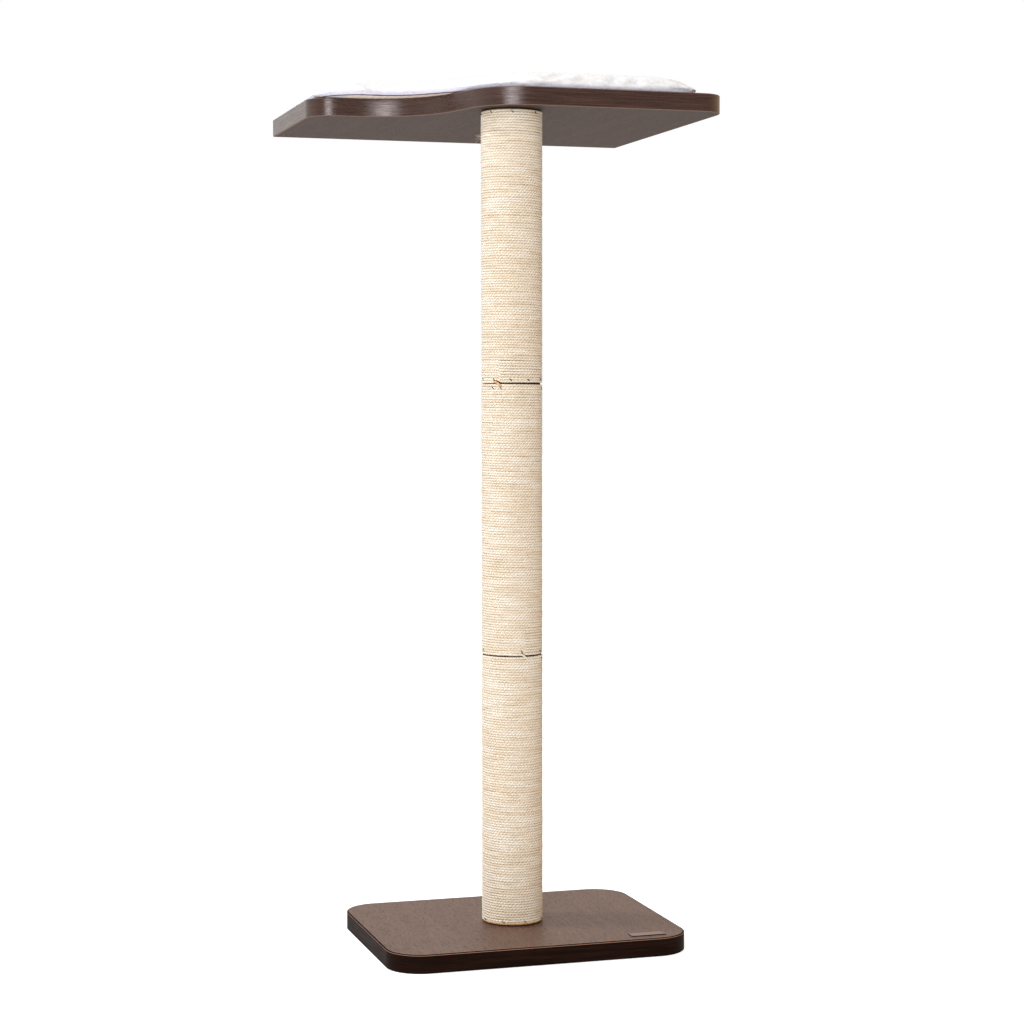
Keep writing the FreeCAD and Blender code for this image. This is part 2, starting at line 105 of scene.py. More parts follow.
def wenge_laminate(name, shades, roughness, shine):
    """Melamine foil with a printed wenge grain: streaks 2 mm wide and pores about 1 mm wide, along Y."""
    material, tree, shader = new_material(name, {"IOR": 1.5, "Specular IOR Level": shine})
    place = add_node(tree, "TexCoord").outputs["Object"]
    streak_size = (0.002, 0.06, 0.002)
    figure_size = (0.026, 0.5, 0.026)
    pore_size = (0.0011, 0.011, 0.0011)
    figure_share = 0.18
    pore_colour = "#2A1D18"
    patterns = []
    for size, detail in ((streak_size, 4), (figure_size, 2), (pore_size, 1)):
        spread = add_node(tree, "Mapping", {"Scale": [1 / side for side in size]}, {"Vector": place})
        patterns.append(add_node(tree, "TexNoise", {"Scale": 1, "Detail": detail, "Roughness": 0.62},
                                 {"Vector": spread.outputs["Vector"]}).outputs["Fac"])
    streak, figure, pore = patterns
    blend = add_node(tree, "Mix", {0: figure_share}, {2: streak, 3: figure}, data_type="FLOAT")
    wood = add_node(tree, "ValToRGB", {}, {"Fac": blend.outputs[0]}, shades)
    pits = add_node(tree, "MapRange", {"From Min": 0.56, "From Max": 0.66}, {"Value": pore})
    dark = add_node(tree, "Mix", {7: linear(pore_colour)}, {0: pits.outputs[0], 6: wood.outputs["Color"]},
                    data_type="RGBA")
    tree.links.new(dark.outputs[2], shader.inputs["Base Color"])
    satin = add_node(tree, "MapRange", {"To Min": roughness - 0.05, "To Max": roughness + 0.09},
                     {"Value": streak})
    tree.links.new(satin.outputs[0], shader.inputs["Roughness"])
    relief = add_node(tree, "Math", {}, {0: streak, 1: pits.outputs[0]}, operation="SUBTRACT")
    bump = add_node(tree, "Bump", {"Strength": 0.25, "Distance": 0.0002}, {"Height": relief.outputs[0]})
    tree.links.new(bump.outputs["Normal"], shader.inputs["Normal"])
    return material


base_shades = [(0.3, "#5A4239"), (0.5, "#694E43"), (0.62, "#775A4C"), (0.75, "#866657")]
dress("base_board", wenge_laminate("wenge_laminate_satin", base_shades, 0.42, 0.32))

# Edge bands: a 2 mm strip of plastic glued round each board, printed to match the wenge faces with
# its grain along the strip. Trimming leaves its cut edges dull. Round the base, the top of the strip's
# sides is coloured tan.


def wenge_band(name, shades, roughness, shine, cut, tan_top=None, tan_top_from=0.0):
    """Printed strip: streaks 1 mm high and 50 mm long, dull cut edges, and a tan line above a height."""
    material, tree, shader = new_material(name, {"IOR": 1.5, "Specular IOR Level": shine,
                                                 "Specular Tint": linear("#FFEDE4")})
    place = add_node(tree, "TexCoord").outputs["Object"]
    streak_size = (0.055, 0.055, 0.0013)
    figure_size = (0.22, 0.22, 0.006)
    figure_share = 0.35
    flat_from = 0.7
    cut_roughness = 0.8
    patterns = []
    for size, detail in ((streak_size, 4), (figure_size, 2)):
        spread = add_node(tree, "Mapping", {"Scale": [1 / side for side in size]}, {"Vector": place})
        patterns.append(add_node(tree, "TexNoise", {"Scale": 1, "Detail": detail, "Roughness": 0.6},
                                 {"Vector": spread.outputs["Vector"]}).outputs["Fac"])
    streak, figure = patterns
    blend = add_node(tree, "Mix", {0: figure_share}, {2: streak, 3: figure}, data_type="FLOAT")
    colour = add_node(tree, "ValToRGB", {}, {"Fac": blend.outputs[0]}, shades).outputs["Color"]
    # A tan line over the top of the strip's sides, above a given height.
    if tan_top:
        height = add_node(tree, "SeparateXYZ", {}, {"Vector": place}).outputs["Z"]
        in_tan_top = add_node(tree, "Math", {1: tan_top_from}, {0: height}, operation="GREATER_THAN")
        colour = add_node(tree, "Mix", {7: linear(tan_top)}, {0: in_tan_top.outputs[0], 6: colour},
                          data_type="RGBA").outputs[2]
    facing = add_node(tree, "SeparateXYZ", {}, {"Vector": add_node(tree, "NewGeometry").outputs["Normal"]})
    slope = add_node(tree, "Math", {}, {0: facing.outputs["Z"]}, operation="ABSOLUTE")
    flat = add_node(tree, "Math", {1: flat_from}, {0: slope.outputs[0]}, operation="GREATER_THAN").outputs[0]
    colour = add_node(tree, "Mix", {7: linear(cut)}, {0: flat, 6: colour}, data_type="RGBA").outputs[2]
    tree.links.new(colour, shader.inputs["Base Color"])
    satin = add_node(tree, "MapRange", {"From Min": 0.35, "From Max": 0.65, "To Min": roughness - 0.08,
                                        "To Max": roughness + 0.1}, {"Value": streak})
    dull = add_node(tree, "Math", {1: cut_roughness}, {0: flat}, operation="MULTIPLY")
    rough = add_node(tree, "Math", {}, {0: satin.outputs[0], 1: dull.outputs[0]}, operation="MAXIMUM")
    tree.links.new(rough.outputs[0], shader.inputs["Roughness"])
    bump = add_node(tree, "Bump", {"Strength": 0.7, "Distance": 0.0005}, {"Height": streak})
    tree.links.new(bump.outputs["Normal"], shader.inputs["Normal"])
    return material


# The base strip is the same print as the shelf's, painted much darker: painted shade on the base's sides.
shaded_base_band_shades = [(0.3, "#120805"), (0.48, "#1B0E09"), (0.6, "#25140D"), (0.75, "#322017")]
tan_top_depth = 0.0017
_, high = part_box("base_edge_band")
dress("base_edge_band", wenge_band("wenge_band_base_painted_shade", shaded_base_band_shades, 0.55, 0.03, "#1B0E09", "#A87C64",
                                   high.z - tan_top_depth))

# Bare plate: a small bevelled brown plate stuck near the front right corner of the base. It has
# rounded corners, a raised rim, cut sides painted darker as painted shade, and nothing on it.


def deselect_all(mesh):
    """Deselects all of a mesh, because an operator acts on everything that is selected."""
    for part in (mesh.vertices, mesh.edges, mesh.polygons):
        part.foreach_set("select", [False] * len(part))


def pick_edges(piece, wanted):
    """Selects the edges of a piece whose two ends pass a test."""
    mesh = piece.data
    deselect_all(mesh)
    for edge in mesh.edges:
        ends = [mesh.vertices[number].co for number in edge.vertices]
        edge.select = bool(wanted(*ends))


def pick_faces(piece, wanted):
    """Selects the faces of a piece whose centre and normal pass a test."""
    mesh = piece.data
    deselect_all(mesh)
    for face in mesh.polygons:
        face.select = bool(wanted(face.center, face.normal))


def take(piece):
    """Selects one piece alone and makes it the active one."""
    bpy.ops.object.select_all(action="DESELECT")
    piece.select_set(True)
    bpy.context.view_layer.objects.active = piece


def edit(piece, kind):
    """Opens a piece in edit mode with vertices, edges or faces to work on."""
    take(piece)
    bpy.context.tool_settings.mesh_select_mode = [kind == word for word in ("VERT", "EDGE", "FACE")]
    bpy.ops.object.mode_set(mode="EDIT")


def mottled(name, values, size, detail, tones, dullness, relief=None):
    """A finish whose tone, dullness and relief follow one mottling of a real size along X, Y and Z."""
    material, tree, shader = new_material(name, values)
    place = add_node(tree, "TexCoord").outputs["Object"]
    spread = add_node(tree, "Mapping", {"Scale": [1 / side for side in size]}, {"Vector": place})
    mottling = add_node(tree, "TexNoise", {"Scale": 1, "Detail": detail},
                        {"Vector": spread.outputs["Vector"]}).outputs["Fac"]
    tone = add_node(tree, "ValToRGB", {}, {"Fac": mottling}, tones)
    tree.links.new(tone.outputs["Color"], shader.inputs["Base Color"])
    rough = add_node(tree, "MapRange", {"To Min": dullness[0], "To Max": dullness[1]}, {"Value": mottling})
    tree.links.new(rough.outputs[0], shader.inputs["Roughness"])
    if relief:
        bump = add_node(tree, "Bump", {"Strength": relief[0], "Distance": relief[1]}, {"Height": mottling})
        tree.links.new(bump.outputs["Normal"], shader.inputs["Normal"])
    return material


plate_corner = 0.003
plate_edge = 0.0008
plate_rim = 0.0012
plate_recess = 0.0003
crease = math.radians(35)
low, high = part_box("base_plate")
bpy.ops.object.select_all(action="DESELECT")
bpy.ops.mesh.primitive_cube_add(size=1, location=(low + high) / 2, scale=high - low)
plate = bpy.context.object
plate.name = "bare_plate"
bpy.ops.object.transform_apply(location=True, rotation=True, scale=True)
pick_edges(plate, lambda a, b: abs(a.z - b.z) > 0.001)
edit(plate, "EDGE")
bpy.ops.mesh.bevel(offset=plate_corner, segments=5)
bpy.ops.object.mode_set(mode="OBJECT")
pick_faces(plate, lambda centre, normal: normal.z > 0.9)
edit(plate, "FACE")
bpy.ops.mesh.inset(thickness=plate_edge, depth=0)
bpy.ops.mesh.inset(thickness=plate_rim, depth=0)
bpy.ops.mesh.inset(thickness=plate_recess, depth=-plate_recess)
bpy.ops.object.mode_set(mode="OBJECT")


def inward(point):
    """How far a point of the plate lies in from its sides."""
    return min(point.x - low.x, high.x - point.x, point.y - low.y, high.y - point.y)


pick_edges(plate, lambda a, b: min(a.z, b.z) > high.z - 1e-5 and max(inward(a), inward(b)) < plate_edge * 0.9)
edit(plate, "EDGE")
bpy.ops.mesh.bevel(offset=plate_edge * 0.8, segments=2)
bpy.ops.object.mode_set(mode="OBJECT")
bpy.ops.object.shade_smooth_by_angle(angle=crease)

# Moulded brown plastic with a fine brushed face: lines 0.4 mm wide along the plate, drawn at 1 mm
# so that they show.
plastic = {"IOR": 1.46, "Specular IOR Level": 0.45}
brush_size = (0.03, 0.001, 0.001)
for name, tones in (("brushed_brown_plastic", [(0.35, "#77605A"), (0.65, "#8F7870")]),
                    ("plate_side_painted_shade", [(0.35, "#23130E"), (0.65, "#35211A")])):
    plate.data.materials.append(mottled(name, plastic, brush_size, 2, tones, (0.34, 0.5), (0.2, 0.0001)))
side_slope = 0.8
below_face = 0.0001
# The sides take the near-black finish: painted shade on the plate's edges.
for face in plate.data.polygons:
    shaded_side = face.normal.z < side_slope and face.center.z < high.z - below_face
    face.material_index = int(shaded_side)
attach(plate, "stand")
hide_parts("base_plate")

# Post cores: three spiral-wound cardboard tubes, each closed by two turned beech plugs. Only a thin
# rim of the tubes shows in the joints between the posts, as a matt line; the cardboard is painted very
# dark brown there, as painted shade in the joints. The beech is pale, with its fibres 3 mm apart.
kraft = mottled("kraft_cardboard_painted_shade", {"Specular IOR Level": 0.2}, (0.004, 0.004, 0.0012), 4,
                [(0.3, "#2C1A10"), (0.7, "#4A2D1B")], (0.8, 0.95), (0.3, 0.0002))
beech = mottled("turned_beech", {"Specular IOR Level": 0.3}, (0.05, 0.003, 0.003), 3,
                [(0.3, "#B58E63"), (0.7, "#D2AE82")], (0.55, 0.75))
posts = ("lower", "middle", "upper")
for part in posts:
    dress(f"post_tube_{part}", kraft)
    dress(f"end_plugs_{part}", beech)

# Fastenings: zinc-plated inserts in the plugs, two studs between the posts, and a bolt with a
# washer through each board. They sit in the base, the shelf and the plugs. The plating is a grey
# metal with a cloudy bloom 2 mm across.
zinc = mottled("zinc_plated_steel", {"Metallic": 1.0}, (0.002,) * 3, 3,
               [(0.3, "#8F9093"), (0.7, "#B4B5B4")], (0.3, 0.5))
for part in ("threaded_inserts", "joining_studs", "clamp_bolts", "clamp_washers"):
    dress(part, zinc)

# Sisal windings: two-ply sisal twine, wound turn against turn round each tube and glued, about 107
# turns to a post. The end turns lie level and step up at one place, where the twine is cut: the upper
# one's foot is soaked with glue, the middle one's hangs loose. The joints open a little on one side.
twine_half_height = 0.00198
twine_half_depth = 0.00152
turn_count = 106.5
end_gap = 0.0008
wide_side = 330
turn_steps = 150
twine_sides = 6
twine_seat = 0.0019
tube_low, tube_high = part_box("post_tube_lower")
post_axis = (tube_low + tube_high) / 2
wound_radius = (tube_high.y - tube_low.y) / 2 + twine_seat
turn_length = 2 * math.pi * wound_radius
twine_length = turn_length * turn_count
lays_per_turn = 26.82


def climbed(turns):
    """Turns of height gained after a number of turns from an end: level steps that ease into a spiral."""
    step_share = 0.03
    level_turns = 10
    past = turns - step_share
    jump = min(1, max(0, (past - math.floor(past) - 1 + step_share) / step_share))
    stepped = max(0, math.floor(past) + jump * jump * (3 - 2 * jump))
    return turns + (stepped - turns) * max(0, 1 - turns / level_turns)


def wobble(length, seed, reach):
    """A slow irregular wander along the twine, between -1 and 1."""
    return noise.noise(Vector((length / reach, seed, 0.5)))


# Raw sisal: pale straw fibres, with painted shade darkening the groove between the two plies, and
# turns that differ in tone because the plant does. Fibres are 0.3 mm thick and are drawn at 0.6 mm so
# that they show.
fibre_length = 0.012
fibre_width = 0.0006
twine_girth = 2 * math.pi * 0.0018
lay_wander, lay_unevenness = 0.03, 0.7
tone_patch = (0.045, 0.045, 0.0042)
turn_share = 0.55
groove_shade_colour = "#A87E50"
sisal, tree, shader = new_material("twisted_sisal", {"Specular IOR Level": 0.3, "Sheen Weight": 0.2,
                                                     "Sheen Roughness": 0.5})
strand = add_node(tree, "UVMap", uv_map="UVMap").outputs["UV"]
place = add_node(tree, "TexCoord").outputs["Object"]
ways = add_node(tree, "SeparateXYZ", {}, {"Vector": strand}).outputs
lay = add_node(tree, "Math", {1: 2 * lays_per_turn * turn_count}, {0: ways["X"]}, operation="MULTIPLY")
twist = add_node(tree, "Math", {1: 2.0}, {0: ways["Y"], 2: lay.outputs[0]}, operation="MULTIPLY_ADD")
spread = add_node(tree, "Mapping", {"Scale": (twine_length / lay_wander, 1, 1)}, {"Vector": strand})
uneven = add_node(tree, "TexNoise", {"Scale": 1, "Detail": 1}, {"Vector": spread.outputs["Vector"]})
phase = add_node(tree, "Math", {1: lay_unevenness}, {0: uneven.outputs["Fac"], 2: twist.outputs[0]},
                 operation="MULTIPLY_ADD")
angle = add_node(tree, "Math", {1: 2 * math.pi}, {0: phase.outputs[0]}, operation="MULTIPLY")
ply = add_node(tree, "Math", {}, {0: angle.outputs[0]}, operation="COSINE").outputs[0]
patterns = []
for size, source in (((twine_length / fibre_length, twine_girth / fibre_width, 1), strand),
                     ([1 / side for side in tone_patch], place)):
    spread = add_node(tree, "Mapping", {"Scale": size}, {"Vector": source})
    patterns.append(add_node(tree, "TexNoise", {"Scale": 1, "Detail": 2},
                             {"Vector": spread.outputs["Vector"]}).outputs["Fac"])
fibre, turn_tone = patterns
blend = add_node(tree, "Mix", {0: turn_share}, {2: fibre, 3: turn_tone}, data_type="FLOAT")
straw = add_node(tree, "ValToRGB", {}, {"Fac": blend.outputs[0]},
                 [(0.32, "#E3CCA9"), (0.45, "#F1E0C5"), (0.56, "#F8ECD7"), (0.7, "#FDF6EA")])
# Painted shade: the groove between the two plies is darkened.
groove = add_node(tree, "MapRange", {"From Min": -0.2, "From Max": -1.0, "To Max": 0.36}, {"Value": ply})
colour = add_node(tree, "Mix", {7: linear(groove_shade_colour)}, {0: groove.outputs[0], 6: straw.outputs["Color"]},
                  data_type="RGBA")
tree.links.new(colour.outputs[2], shader.inputs["Base Color"])
dull = add_node(tree, "MapRange", {"To Min": 0.72, "To Max": 0.9}, {"Value": fibre})
tree.links.new(dull.outputs[0], shader.inputs["Roughness"])
relief = add_node(tree, "Math", {1: 0.2}, {0: fibre, 2: ply}, operation="MULTIPLY_ADD")
bump = add_node(tree, "Bump", {"Strength": 0.65, "Distance": 0.0005}, {"Height": relief.outputs[0]})
tree.links.new(bump.outputs["Normal"], shader.inputs["Normal"])

# Dried glue: it turns the foot of the lower winding, a stretch of the middle one and the end of the
# upper one brown, in stains 3 mm across, and makes them less matt.
glued = mottled("glue_soaked_sisal", {"Specular IOR Level": 0.3}, (0.003,) * 3, 3,
                [(0.35, "#B57E4A"), (0.65, "#E0B684")], (0.5, 0.75))

tail_length = 0.008
peel_power, sag_power = 0.6, 1.7
surface_wander, surface_reach = 0.0003, 0.07
height_wander, height_reach, calm_end = 0.00022, 0.11, 0.3
seam_opening, seam_turns = 0.0005, 3
plumpness, plump_reach = 0.09, 0.02
end_taper, taper_length = 0.4, 0.01
for seed, (part, end_angle, top_gap, spare_length, droop, stand_off, soaked, glue_from, glue_to,
           glue_height, bottom_gap) in enumerate((
    ("lower", 350, end_gap, 0.008, 0.0, 0.0008, 0.0, 0, 360, 0.0005, 0.0017),
    ("middle", 282, end_gap, 0.0095, 0.0072, 0.003, 0.0, 205, 248, -0.0009, end_gap),
    ("upper", 234, 0.002, 0.012, 0.007, 0.0026, 0.013, 0, 0, 0.0, end_gap),
)):
    tube_low, tube_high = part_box(f"post_tube_{part}")
    start = tube_low.z + bottom_gap + twine_half_height
    rise = tube_high.z - top_gap - twine_half_height - start
    bpy.ops.object.select_all(action="DESELECT")
    bpy.ops.mesh.primitive_plane_add(size=0.001, location=(post_axis.x, post_axis.y, start))
    rope = bpy.context.object
    bpy.ops.object.mode_set(mode="EDIT")
    bpy.ops.mesh.merge(type="CENTER")
    bpy.ops.mesh.select_all(action="SELECT")
    bpy.ops.transform.translate(value=(wound_radius, 0, 0))
    bpy.ops.object.mode_set(mode="OBJECT")
    rope.rotation_euler.z = math.radians(end_angle)
    turns = rope.modifiers.new("turns", "SCREW")
    turns.axis = "Z"
    turns.iterations = 2
    turns.angle = -math.pi * turn_count
    turns.steps = turns.render_steps = int(turn_steps * turn_count / 2)
    turns.screw_offset = rise / 2
    bpy.ops.object.modifier_apply(modifier="turns")
    bpy.ops.object.convert(target="CURVE")
    rope = bpy.context.object
    points = rope.data.splines[0].points
    route = [0.0] * (4 * len(points))
    points.foreach_get("co", route)
    thickness = []
    for number in range(len(points)):
        turn = turn_count * (1 - number / (len(points) - 1))
        level = climbed(turn) if turn < turn_count / 2 else turn_count - climbed(turn_count - turn)
        length = turn * turn_length
        from_end = min(length, twine_length - length)
        spare = max(0.0, 1 - length / spare_length)
        tail = max(0.0, 1 - (twine_length - length) / tail_length)
        out = surface_wander * wobble(length, seed, surface_reach)
        out += stand_off * (spare ** peel_power + tail ** peel_power)
        out = 1 + out / wound_radius
        route[4 * number] *= out
        route[4 * number + 1] *= out
        wander = height_wander * wobble(length, seed + 7, height_reach) * min(1, from_end / calm_end)
        facing = math.radians(end_angle - wide_side) + math.atan2(route[4 * number + 1], route[4 * number])
        lean = seam_opening * math.cos(facing) * max(0.0, 1 - from_end / (seam_turns * turn_length))
        if part == "upper" and turn < turn_count / 2:
            wander += lean
        if part == "middle" and turn >= turn_count / 2:
            wander -= lean
        route[4 * number + 2] = rise / turn_count * level + wander - droop * spare ** sag_power
        plump = 1 + plumpness * wobble(length, seed + 3, plump_reach)
        thickness.append(plump * (1 - end_taper * max(0.0, 1 - from_end / taper_length)))
    points.foreach_set("co", route)
    points.foreach_set("radius", thickness)
    bpy.ops.mesh.primitive_circle_add(vertices=twine_sides, radius=1)
    section = bpy.context.object
    section.scale = (twine_half_depth, twine_half_height, 1)
    bpy.ops.object.transform_apply(location=False, rotation=False, scale=True)
    bpy.ops.object.convert(target="CURVE")
    section = bpy.context.object
    rope.data.twist_mode = "Z_UP"
    rope.data.bevel_mode = "OBJECT"
    rope.data.bevel_object = section
    rope.data.use_fill_caps = True
    take(rope)
    bpy.ops.object.convert(target="MESH")
    rope = bpy.context.object
    rope.name = f"sisal_rope_{part}"
    bpy.ops.object.transform_apply(location=True, rotation=True, scale=True)
    bpy.ops.object.shade_smooth()
    bpy.data.objects.remove(section)
    rope.data.materials.append(sisal)
    rope.data.materials.append(glued)
    soaked_from = len(rope.data.polygons) - int(soaked / turn_length * turn_steps) * twine_sides
    for face in rope.data.polygons[soaked_from:]:
        face.material_index = 1
    for face in rope.data.polygons:
        place = face.center - post_axis
        toward = math.degrees(math.atan2(place.y, place.x)) % 360
        if face.center.z < start + glue_height and glue_from <= toward < glue_to:
            face.material_index = 1
    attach(rope, "stand")
    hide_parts(f"sisal_winding_{part}", "sisal_end_turns")

# Staples: small wire staples shot slantwise over the last turns hold each end of the winding. Their
# wire is painted near black, as painted shade where they sink into the twine, so they show as short dark
# strokes beside the joints.
staple_crown = 0.0046
staple_wire = 0.0011
staple_leg = 0.006
bpy.ops.object.select_all(action="DESELECT")
bpy.ops.mesh.primitive_cube_add(size=1, scale=(staple_wire * 0.7, staple_crown, staple_wire))
staple = bpy.context.object
bpy.ops.object.transform_apply(location=True, rotation=True, scale=True)
edit(staple, "FACE")
for side in (-1, 1):
    bpy.ops.mesh.select_all(action="SELECT")
    bpy.ops.mesh.bisect(plane_co=(0, side * (staple_crown / 2 - staple_wire), 0), plane_no=(0, 1, 0))
bpy.ops.object.mode_set(mode="OBJECT")
pick_faces(staple, lambda centre, normal: normal.x < -0.9 and abs(centre.y) > staple_crown / 2 - staple_wire)
edit(staple, "FACE")
bpy.ops.mesh.extrude_region_move(TRANSFORM_OT_translate={"value": (-staple_leg, 0, 0)})
bpy.ops.object.mode_set(mode="OBJECT")
pick_edges(staple, lambda a, b: min(a.x, b.x) > 0)
edit(staple, "EDGE")
bpy.ops.mesh.bevel(offset=staple_wire * 0.25, segments=2)
bpy.ops.object.mode_set(mode="OBJECT")

# Painted shade: the wire is near black where the staples sink into the twine.
wire = mottled("staple_wire_painted_shade", {"Metallic": 1.0}, (0.0015,) * 3, 3,
               [(0.3, "#241B15"), (0.7, "#42362D")], (0.45, 0.65))
staple.data.materials.append(wire)

staple_height = 0.006
staple_scatter = 0.0008
staple_slant = (30, 55)
staple_angles = {
    "lower": ((236, 278, 325, 10, 55, 100, 145, 190), (330, 15, 60, 105, 150)),
    "middle": ((272, 320, 5, 50, 95, 140, 185), (215, 232, 330, 15, 60, 105, 150)),
    "upper": ((218, 251, 286, 322, 0, 36, 75, 112, 150, 184), (255, 304, 350, 40, 85, 130, 172, 212)),
}
draw = random.Random(5)
for part, (at_bottom, at_top) in staple_angles.items():
    tube_low, tube_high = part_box(f"post_tube_{part}")
    bpy.ops.object.select_all(action="DESELECT")
    row = [(turn, tube_low.z + staple_height) for turn in at_bottom]
    row += [(turn, tube_high.z - staple_height) for turn in at_top]
    for turn, height in row:
        copy = staple.copy()
        copy.data = staple.data.copy()
        slant = math.radians(draw.uniform(*staple_slant))
        stand_off = Vector((wound_radius + twine_half_depth - staple_wire * 0.1, 0, 0))
        height += draw.uniform(-staple_scatter, staple_scatter)
        copy.matrix_world = (Matrix.Translation((post_axis.x, post_axis.y, height))
                             @ Matrix.Rotation(math.radians(turn), 4, "Z") @ Matrix.Translation(stand_off)
                             @ Matrix.Rotation(slant - math.pi / 2, 4, "X"))
        bpy.context.scene.collection.objects.link(copy)
        copy.select_set(True)
        bpy.context.view_layer.objects.active = copy
    bpy.ops.object.join()
    staples = bpy.context.object
    staples.name = f"staples_{part}"
    bpy.ops.object.transform_apply(location=True, rotation=True, scale=True)
    bpy.ops.object.shade_smooth_by_angle(angle=crease)
    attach(staples, "stand")
bpy.data.objects.remove(staple)

# Loose fibres: sisal is hairy, so short ends stand off the windings all round, most of them lying
# along the turns. They are drawn twice as thick as real ones so that they show.
fibre_radius = 0.00012
fibre_count = 260
fibre_lengths = (0.003, 0.009)
end_margin = 0.004
tuft_count = 7
tuft_angles, tuft_heights, tuft_lengths = (160, 172), (1.182, 1.196), (0.008, 0.012)
pale_fibre = mottled("loose_sisal_fibre", {"Specular IOR Level": 0.2}, (0.01,) * 3, 1,
                     [(0.35, "#E2D0B2"), (0.65, "#F7EEDD")], (0.7, 0.9))
for part in posts:
    tube_low, tube_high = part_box(f"post_tube_{part}")
    spots = []
    for _ in range(fibre_count):
        height = draw.uniform(tube_low.z + end_margin, tube_high.z - end_margin)
        spots.append((draw.uniform(0, 360), height, draw.uniform(*fibre_lengths), draw.uniform(0.15, 0.5)))
    for _ in range(tuft_count if part == "upper" else 0):
        spots.append((draw.uniform(*tuft_angles), draw.uniform(*tuft_heights),
                      draw.uniform(*tuft_lengths), 0.8))
    hair = bpy.data.curves.new("hair", "CURVE")
    hair.dimensions = "3D"
    hair.bevel_depth = fibre_radius
    hair.bevel_resolution = 0
    hair.use_fill_caps = True
    for turn, height, length, lift in spots:
        root = math.radians(turn)
        outward = Vector((math.cos(root), math.sin(root), 0))
        along = Vector((-outward.y, outward.x, 0)) * draw.choice((-1, 1))
        rise = Vector((0, 0, draw.uniform(-0.5, 0.5)))
        foot = Vector((post_axis.x, post_axis.y, height)) + outward * (wound_radius + twine_half_depth * 0.7)
        strand = hair.splines.new("POLY")
        strand.points.add(3)
        for number, point in enumerate(strand.points):
            share = number / 3
            bend = along * share * (1 - lift * share) + outward * lift * share ** 1.5 + rise * share * share
            point.co = (*(foot + length * bend), 1)
            point.radius = 1 - 0.6 * share
    fuzz = bpy.data.objects.new(f"sisal_fibres_{part}", hair)
    bpy.context.scene.collection.objects.link(fuzz)
    take(fuzz)
    bpy.ops.object.convert(target="MESH")
    fuzz = bpy.context.object
    bpy.ops.object.shade_smooth()
    fuzz.data.materials.append(pale_fibre)
    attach(fuzz, "stand")

# Shelf: the same board as the base with a wavy front, screwed down on the top post. Its face
# beneath has a duller backing foil, so it mirrors less than the base.
# The shelf's wenge is painted darker than the base's: painted shade on its underside.
shaded_shelf_shades = [(0.3, "#35261F"), (0.5, "#46352C"), (0.62, "#523F36"), (0.75, "#624D42")]
dress("shelf_board", wenge_laminate("wenge_laminate_dull", shaded_shelf_shades, 0.62, 0.12))
shelf_band_shades = [(0.3, "#29150F"), (0.48, "#331B14"), (0.6, "#3E231A"), (0.75, "#4D3026")]
dress("shelf_edge_band", wenge_band("wenge_band_shelf", shelf_band_shades, 0.25, 0.85, "#6E564A"))

# Cushion: a flat pad that lies loose on the shelf. A white short-pile plush top is sewn to a smooth
# white side strip and a cotton underside painted beige as warm bounce light, over a foam slab. It
# bulges between its seams.
seam_height = 0.0075
seam_reach = 0.0026
seam_pull = 0.003
hem_height = 0.0012
rest_height = 0.002
left_fullness, fullness_gain = 0.66, 0.14
fill_start, fill_length = -0.16, 0.12
voxel_size = 0.005
swell_frames = 20
furthest_swell = 0.0055
cover = frame["nodes"]["cushion_cover"]
cushion = bpy.data.objects.new("plush_cushion", cover.data.copy())
bpy.context.scene.collection.objects.link(cushion)
cushion.data.materials.clear()
bottom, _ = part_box("cushion_cover")
edit(cushion, "VERT")
bpy.ops.mesh.select_all(action="SELECT")
bpy.ops.mesh.remove_doubles(threshold=0.00002)
bpy.ops.mesh.select_all(action="DESELECT")
bpy.ops.object.mode_set(mode="OBJECT")
peak = max(cushion.data.vertices, key=lambda vertex: vertex.co.z)
peak.select = True
edit(cushion, "VERT")
bpy.ops.mesh.select_linked()
bpy.ops.mesh.select_all(action="INVERT")
bpy.ops.mesh.delete(type="VERT")
bpy.ops.object.mode_set(mode="OBJECT")
cushion.data.remesh_voxel_size = voxel_size
bpy.ops.object.voxel_remesh()

held = cushion.vertex_groups.new(name="held")
normals = [vertex.normal.copy() for vertex in cushion.data.vertices]
for vertex, normal in zip(cushion.data.vertices, normals):
    fullness = left_fullness + fullness_gain * min(1, max(0, (vertex.co.x - fill_start) / fill_length))
    height = (vertex.co.z - bottom.z) * fullness
    vertex.co.z = bottom.z + height
    resting = height < rest_height and normal.z < -0.5
    sewn = abs(height - seam_height) < seam_reach and abs(normal.z) < 0.75
    if sewn:
        vertex.co -= seam_pull * Vector((normal.x, normal.y, 0))
    if resting or sewn:
        held.add([vertex.index], 1.0, "REPLACE")
flat = [vertex.co.copy() for vertex in cushion.data.vertices]
cloth = cushion.modifiers.new("filling", "CLOTH")
cloth.settings.vertex_group_mass = "held"
cloth.settings.use_pressure = True
cloth.settings.uniform_pressure_force = 4
cloth.settings.effector_weights.gravity = 0
cloth.settings.shrink_min = -0.03
cloth.settings.quality = 6
for number in range(1, swell_frames + 1):
    bpy.context.scene.frame_set(number)
swollen = cushion.evaluated_get(bpy.context.evaluated_depsgraph_get()).data
moved = [vertex.co.copy() for vertex in swollen.vertices]
cushion.modifiers.remove(cloth)
bpy.context.scene.frame_set(1)
for vertex, before, after in zip(cushion.data.vertices, flat, moved):
    way = after - before
    vertex.co = before + way * min(1, furthest_swell / max(way.length, 1e-9))
smooth = cushion.modifiers.new("smooth", "SUBSURF")
smooth.levels = smooth.render_levels = 1
bpy.ops.object.modifier_apply(modifier="smooth")
cushion.vertex_groups.clear()

